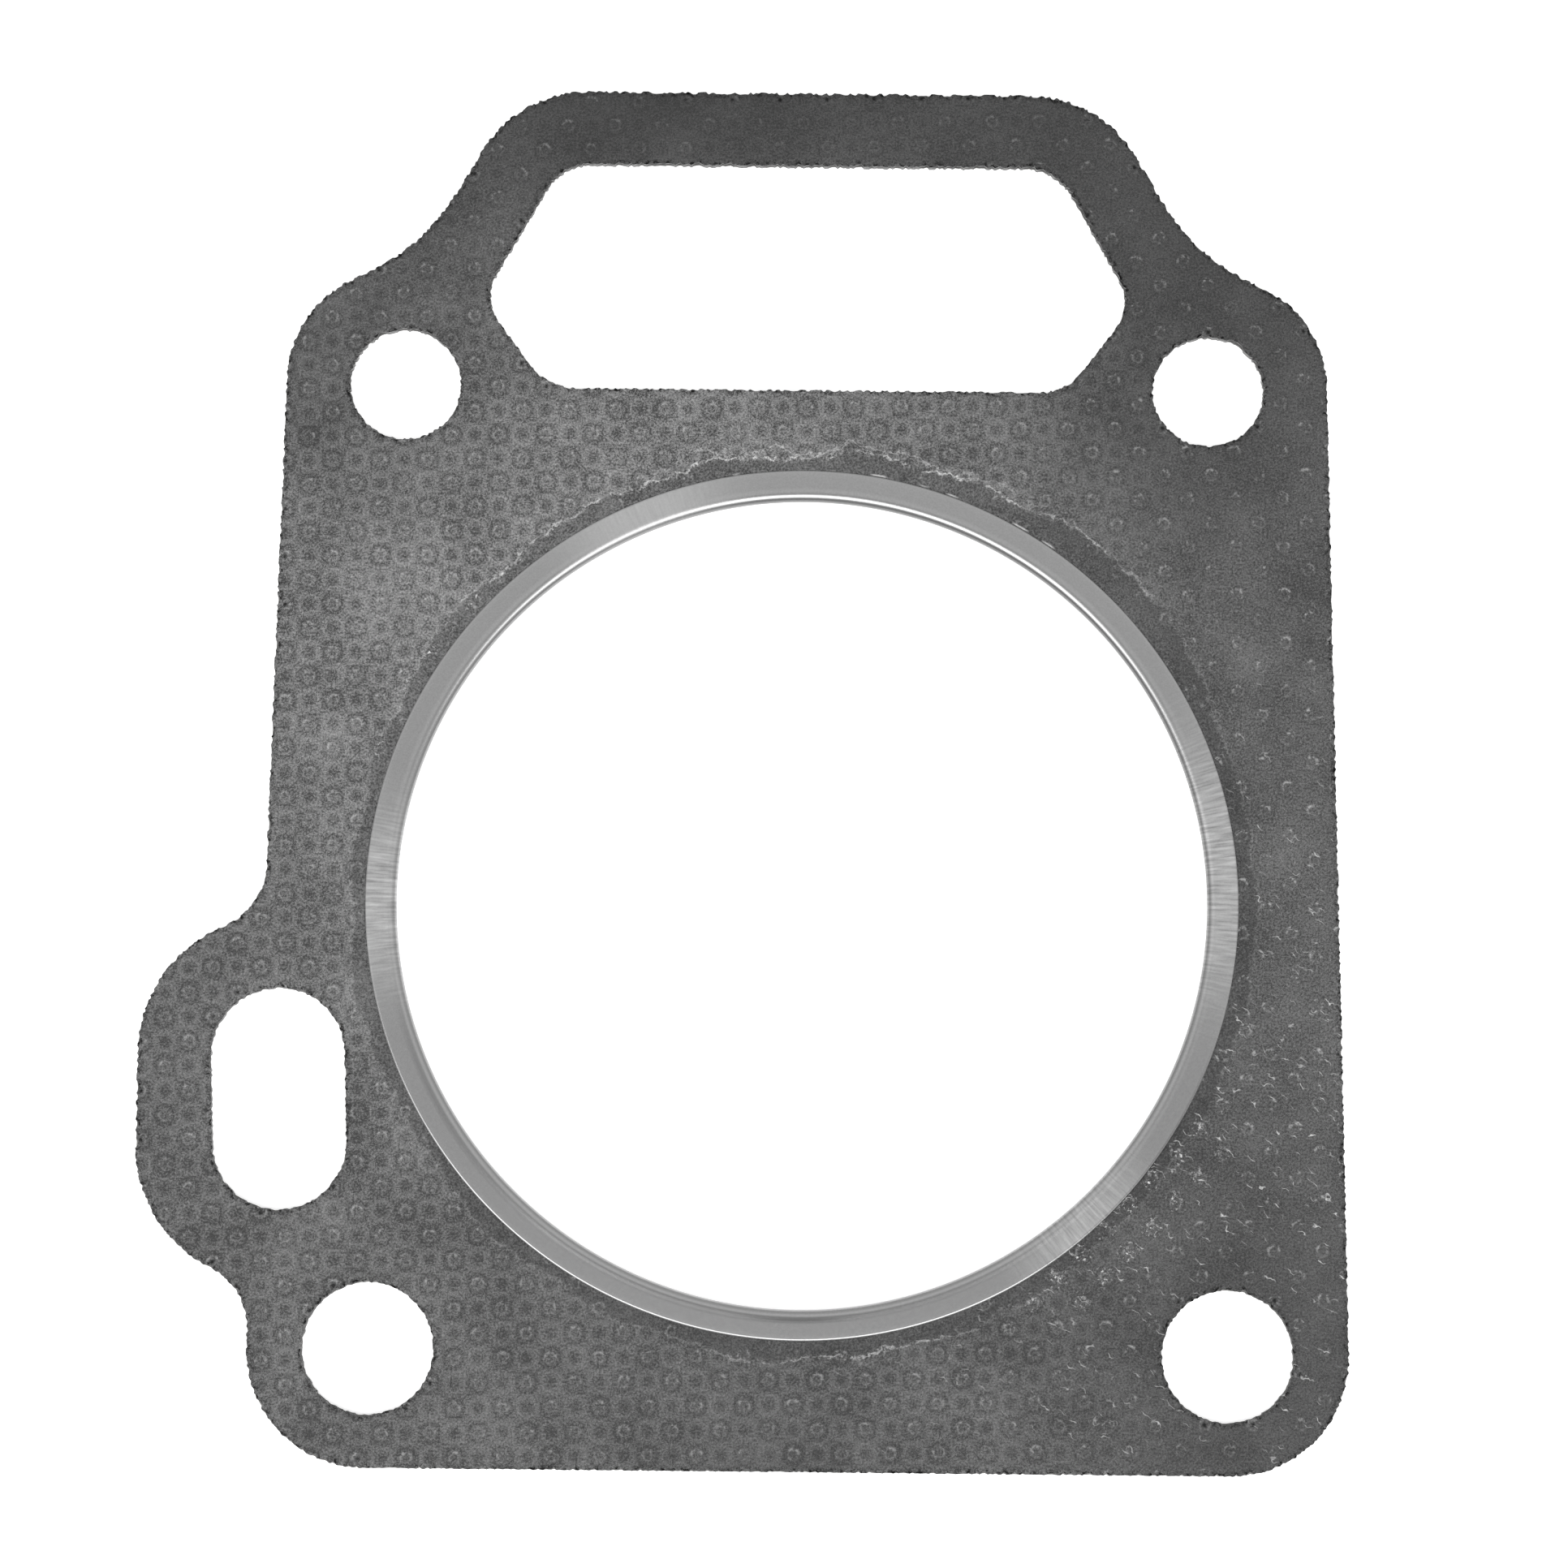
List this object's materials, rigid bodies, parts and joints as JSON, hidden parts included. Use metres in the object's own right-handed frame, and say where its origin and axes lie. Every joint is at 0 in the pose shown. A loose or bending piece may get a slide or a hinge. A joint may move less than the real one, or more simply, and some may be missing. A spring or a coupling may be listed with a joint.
{
  "type": "cylinder head gasket",
  "caption": "Flat head gasket with a steel core between two dark facings, a folded steel fire ring round the bore, a push-rod opening, bolt holes and a side slot.",
  "frame": {"origin": "on the bore axis, halfway through the thickness", "axes": "+Z out of the face that the picture shows, +Y from the bore to the push-rod opening, +X away from the side slot"},
  "size_m": [0.1177, 0.1355, 0.0016],
  "materials": {
    "core_steel": "plain cold-rolled steel",
    "front_facing": "dark grey graphite and fibre sheet, matt",
    "back_facing": "dark grey graphite and fibre sheet, matt",
    "ring_steel": "satin steel with fine scratches"
  },
  "bodies": {
    "root": {"core_plate": "core_steel", "front_facing": "front_facing", "back_facing": "back_facing", "fire_ring": "ring_steel"}
  },
  "joints": []
}
